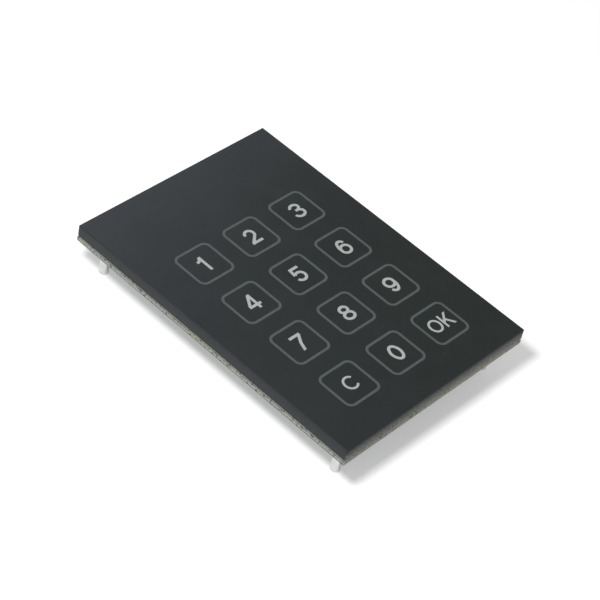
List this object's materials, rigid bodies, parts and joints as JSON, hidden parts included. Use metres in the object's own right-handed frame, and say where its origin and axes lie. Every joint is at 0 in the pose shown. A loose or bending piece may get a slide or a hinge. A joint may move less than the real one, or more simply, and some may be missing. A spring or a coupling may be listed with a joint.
{
  "type": "capacitive touch keypad",
  "caption": "Touch keypad: a flat black front panel with outlined numeric keys, bonded to a circuit board that stands on threadless fixing studs.",
  "frame": {"origin": "under the middle of the panel, level with the stud tips that the keypad stands on", "axes": "+X across the key columns from the 1 key to the 3 key, +Y towards the blank upper end, +Z out of the touched face"},
  "size_m": [0.06, 0.085, 0.0138],
  "materials": {
    "black_acrylic": "cast black acrylic with a satin face and machined edges",
    "key_ink": "mid grey screen-printed ink",
    "adhesive": "clear double-sided adhesive film",
    "copper": "bare copper foil",
    "glass_epoxy": "glass-epoxy laminate with green solder mask and scored edges",
    "nickel_plate": "bright nickel plate on turned studs",
    "black_epoxy": "moulded black epoxy",
    "tinned_lead": "tin plate on stamped metal",
    "nylon": "natural moulded nylon",
    "yellow_epoxy": "moulded amber epoxy",
    "resistor_glaze": "dark glazed alumina with tinned ends",
    "chip_ceramic": "tan fired ceramic with tinned ends"
  },
  "bodies": {
    "root": {"front_panel": "black_acrylic", "key_outlines": "key_ink", "adhesive_sheet": "adhesive", "touch_electrodes": "copper", "circuit_board": "glass_epoxy", "upper_left_stud": "nickel_plate", "upper_right_stud": "nickel_plate", "lower_left_stud": "nickel_plate", "lower_right_stud": "nickel_plate", "controller_body": "black_epoxy", "controller_leads": "tinned_lead", "regulator_body": "black_epoxy", "regulator_leads": "tinned_lead", "protector_body": "black_epoxy", "protector_leads": "tinned_lead", "connector_housing": "nylon", "connector_pins": "tinned_lead", "connector_anchors": "tinned_lead", "input_capacitor_body": "yellow_epoxy", "input_capacitor_straps": "tinned_lead", "output_capacitor_body": "yellow_epoxy", "output_capacitor_straps": "tinned_lead", "sense_resistor_1": "resistor_glaze", "sense_resistor_2": "resistor_glaze", "sense_resistor_3": "resistor_glaze", "sense_resistor_4": "resistor_glaze", "sense_resistor_5": "resistor_glaze", "sense_resistor_6": "resistor_glaze", "sense_resistor_7": "resistor_glaze", "sense_resistor_8": "resistor_glaze", "sense_resistor_9": "resistor_glaze", "sense_resistor_10": "resistor_glaze", "sense_resistor_11": "resistor_glaze", "sense_resistor_12": "resistor_glaze", "sampling_capacitor_1": "chip_ceramic", "sampling_capacitor_2": "chip_ceramic", "sampling_capacitor_3": "chip_ceramic", "sampling_capacitor_4": "chip_ceramic", "sampling_capacitor_5": "chip_ceramic", "sampling_capacitor_6": "chip_ceramic", "sampling_capacitor_7": "chip_ceramic", "sampling_capacitor_8": "chip_ceramic", "sampling_capacitor_9": "chip_ceramic", "sampling_capacitor_10": "chip_ceramic", "sampling_capacitor_11": "chip_ceramic", "sampling_capacitor_12": "chip_ceramic", "decoupling_capacitor_1": "chip_ceramic", "decoupling_capacitor_2": "chip_ceramic", "decoupling_capacitor_3": "chip_ceramic", "decoupling_capacitor_4": "chip_ceramic"}
  },
  "joints": []
}
